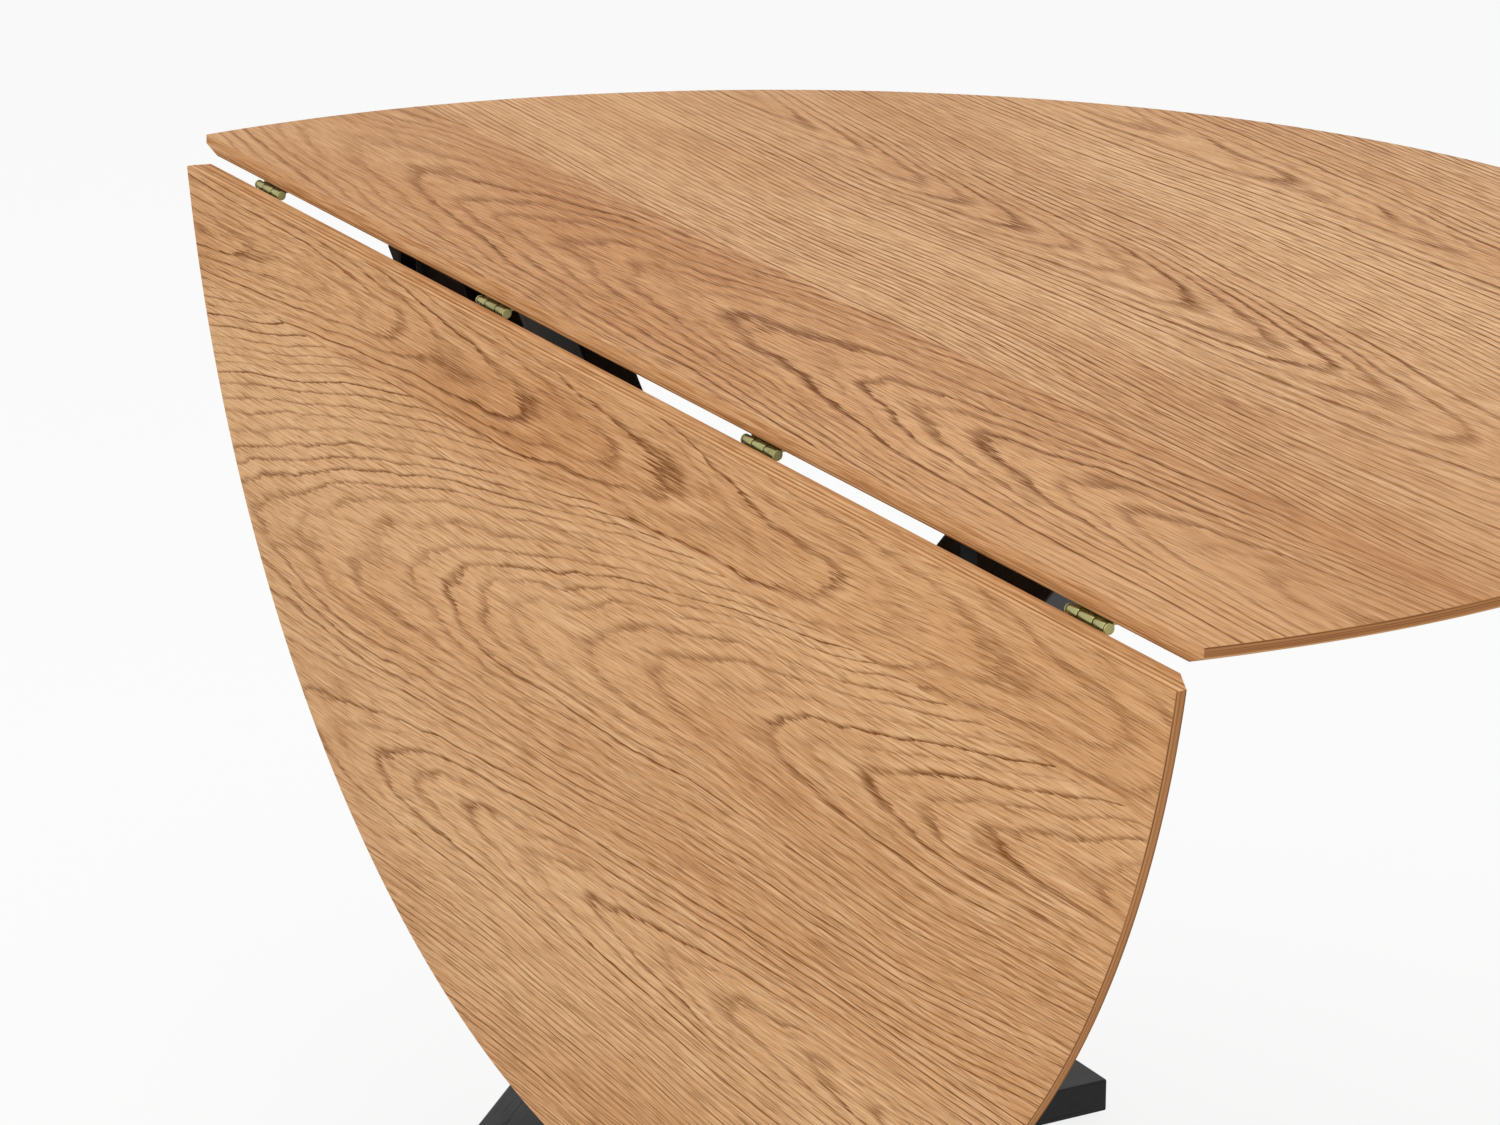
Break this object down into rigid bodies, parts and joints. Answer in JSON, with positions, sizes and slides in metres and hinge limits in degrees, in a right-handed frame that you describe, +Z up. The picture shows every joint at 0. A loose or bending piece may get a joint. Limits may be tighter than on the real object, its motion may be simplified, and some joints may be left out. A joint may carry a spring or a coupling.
{
  "type": "folding dining table",
  "caption": "Round drop-leaf dining table: an oak-faced top with a hinged leaf hanging from brass butt hinges, on a black X trestle with long feet and swing-out leaf stays.",
  "frame": {"origin": "on the floor, under the centre of the whole table with its leaf hanging", "axes": "+X to the right along the seam when seen from the leaf's side, -Y to the front where the leaf hangs, +Z up"},
  "size_m": [1.3, 1.0944, 0.75],
  "materials": {
    "oak": "clear satin lacquer on oak-faced plywood",
    "black_wood": "black satin lacquer",
    "black_steel": "black powder coat",
    "brass": "aged polished brass",
    "nylon": "moulded black nylon"
  },
  "bodies": {
    "frame": {"bearer_bolt_back": "black_steel", "bearer_bolt_centre": "black_steel", "bearer_bolt_front": "black_steel", "bearer_left": "black_wood", "bearer_right": "black_wood", "cross_bolt": "black_steel", "cross_nut": "black_steel", "cross_washer_back": "black_steel", "cross_washer_front": "black_steel", "foot_bolt_back": "black_steel", "foot_bolt_centre": "black_steel", "foot_bolt_front": "black_steel", "foot_left": "black_wood", "foot_right": "black_wood", "glide_left_front": "nylon", "glide_left_rear": "nylon", "glide_right_front": "nylon", "glide_right_rear": "nylon", "hinge_1_main_plate": "brass", "hinge_1_pin": "brass", "hinge_2_main_plate": "brass", "hinge_2_pin": "brass", "hinge_3_main_plate": "brass", "hinge_3_pin": "brass", "hinge_4_main_plate": "brass", "hinge_4_pin": "brass", "leg_back_cheek": "black_wood", "leg_centre_board": "black_wood", "leg_front_cheek": "black_wood", "main_panel": "oak", "rail_front": "black_wood", "rail_middle": "black_wood", "rail_rear": "black_wood", "stay_left_bracket": "black_steel", "stay_left_pin": "black_steel", "stay_right_bracket": "black_steel", "stay_right_pin": "black_steel"},
    "leaf": {"hinge_1_leaf_plate": "brass", "hinge_2_leaf_plate": "brass", "hinge_3_leaf_plate": "brass", "hinge_4_leaf_plate": "brass", "leaf_panel": "oak", "stay_left_rest_plate": "black_steel", "stay_right_rest_plate": "black_steel"},
    "stay_left": {"stay_left_arm": "black_steel", "stay_left_pad": "nylon"},
    "stay_right": {"stay_right_arm": "black_steel", "stay_right_pad": "nylon"}
  },
  "joints": [
    {"name": "leaf_hinge", "type": "hinge", "parent": "frame", "child": "leaf", "pos_m": [0, -0.21355, 0.7326], "axis": [-1, 0, 0], "range_deg": [0, 90]},
    {"name": "stay_left_swing", "type": "hinge", "parent": "frame", "child": "stay_left", "pos_m": [-0.366, -0.19355, 0.5826], "axis": [-1, 0, 0], "range_deg": [0, 122.61]},
    {"name": "stay_right_swing", "type": "hinge", "parent": "frame", "child": "stay_right", "pos_m": [0.366, -0.19355, 0.5826], "axis": [-1, 0, 0], "range_deg": [0, 122.61]}
  ],
  "couplings": [
    {"joint": "stay_left_swing", "follows": "leaf_hinge", "ratio": 1.3622},
    {"joint": "stay_right_swing", "follows": "leaf_hinge", "ratio": 1.3622}
  ]
}
